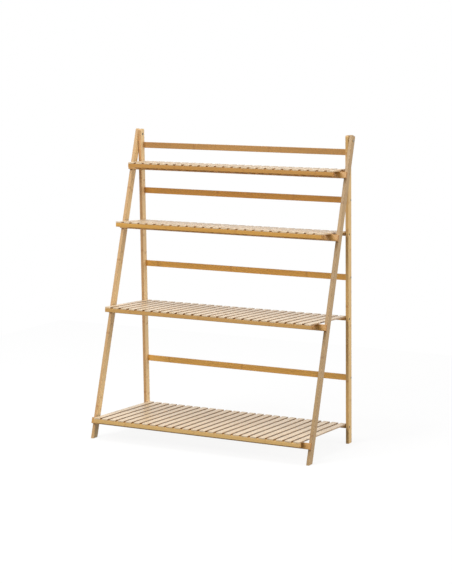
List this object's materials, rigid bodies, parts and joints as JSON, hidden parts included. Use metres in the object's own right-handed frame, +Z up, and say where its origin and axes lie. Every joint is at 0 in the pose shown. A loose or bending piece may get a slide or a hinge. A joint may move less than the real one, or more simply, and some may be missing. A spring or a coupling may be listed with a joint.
{
  "type": "tiered plant stand",
  "caption": "Folding stepped plant stand: an upright rear frame, a splayed front frame hinged to it at the top, and slatted shelves, deeper towards the floor, that lift to fold.",
  "frame": {"origin": "middle of the floor space that the open stand covers, on the floor", "axes": "+Z up, +X to the right seen from the front, +Y to the back"},
  "size_m": [0.976, 0.4468, 1.223],
  "materials": {
    "bamboo_leg": "clear satin lacquer on laminated bamboo",
    "bamboo_rail": "clear satin lacquer on laminated bamboo",
    "bamboo_shelf_rail": "clear satin lacquer on laminated bamboo",
    "bamboo_slat": "pale bamboo strips, thin satin lacquer",
    "dowel_wood": "bare wood",
    "dark_steel": "dark plated steel",
    "dark_screw": "dark plated steel",
    "nylon": "natural nylon"
  },
  "bodies": {
    "rear_frame": {"rear_leg_left": "bamboo_leg", "rear_leg_right": "bamboo_leg", "back_rail_1": "bamboo_rail", "rail_screw_1_left": "dark_screw", "rail_screw_1_right": "dark_screw", "back_rail_2": "bamboo_rail", "rail_screw_2_left": "dark_screw", "rail_screw_2_right": "dark_screw", "back_rail_3": "bamboo_rail", "rail_screw_3_left": "dark_screw", "rail_screw_3_right": "dark_screw", "back_rail_4": "bamboo_rail", "rail_screw_4_left": "dark_screw", "rail_screw_4_right": "dark_screw", "hinge_bolt_left": "dark_steel", "sleeve_nut_left": "dark_steel", "hinge_washer_left": "nylon", "hinge_bolt_right": "dark_steel", "sleeve_nut_right": "dark_steel", "hinge_washer_right": "nylon"},
    "front_frame": {"front_leg_left": "bamboo_leg", "front_leg_right": "bamboo_leg", "crossbar_1": "bamboo_rail", "crossbar_dowel_1_left": "dowel_wood", "crossbar_dowel_1_right": "dowel_wood", "crossbar_2": "bamboo_rail", "crossbar_dowel_2_left": "dowel_wood", "crossbar_dowel_2_right": "dowel_wood", "crossbar_3": "bamboo_rail", "crossbar_dowel_3_left": "dowel_wood", "crossbar_dowel_3_right": "dowel_wood", "crossbar_4": "bamboo_rail", "crossbar_dowel_4_left": "dowel_wood", "crossbar_dowel_4_right": "dowel_wood"},
    "shelf_1": {"slat_deck_1": "bamboo_slat", "front_rail_1": "bamboo_shelf_rail", "stop_cleat_1": "bamboo_shelf_rail", "pivot_screw_1_left": "dark_screw", "pivot_screw_1_right": "dark_screw"},
    "shelf_2": {"slat_deck_2": "bamboo_slat", "front_rail_2": "bamboo_shelf_rail", "stop_cleat_2": "bamboo_shelf_rail", "pivot_screw_2_left": "dark_screw", "pivot_screw_2_right": "dark_screw"},
    "shelf_3": {"slat_deck_3": "bamboo_slat", "front_rail_3": "bamboo_shelf_rail", "stop_cleat_3": "bamboo_shelf_rail", "pivot_screw_3_left": "dark_screw", "pivot_screw_3_right": "dark_screw"},
    "shelf_4": {"slat_deck_4": "bamboo_slat", "front_rail_4": "bamboo_shelf_rail", "stop_cleat_4": "bamboo_shelf_rail", "pivot_screw_4_left": "dark_screw", "pivot_screw_4_right": "dark_screw"}
  },
  "joints": [
    {"name": "front_frame_fold", "type": "hinge", "parent": "rear_frame", "child": "front_frame", "pos_m": [0, 0.17496, 1.20019], "axis": [1, 0, 0], "range_deg": [0, 16.2]},
    {"name": "shelf_1_lift", "type": "hinge", "parent": "rear_frame", "child": "shelf_1", "pos_m": [0, 0.17227, 1.07979], "axis": [-1, 0, 0], "range_deg": [0, 86.3]},
    {"name": "shelf_2_lift", "type": "hinge", "parent": "rear_frame", "child": "shelf_2", "pos_m": [0, 0.17913, 0.83696], "axis": [-1, 0, 0], "range_deg": [0, 84.1]},
    {"name": "shelf_3_lift", "type": "hinge", "parent": "rear_frame", "child": "shelf_3", "pos_m": [0, 0.18861, 0.50206], "axis": [-1, 0, 0], "range_deg": [0, 85.2]},
    {"name": "shelf_4_lift", "type": "hinge", "parent": "rear_frame", "child": "shelf_4", "pos_m": [0, 0.20088, 0.068], "axis": [-1, 0, 0], "range_deg": [0, 86.1]}
  ]
}
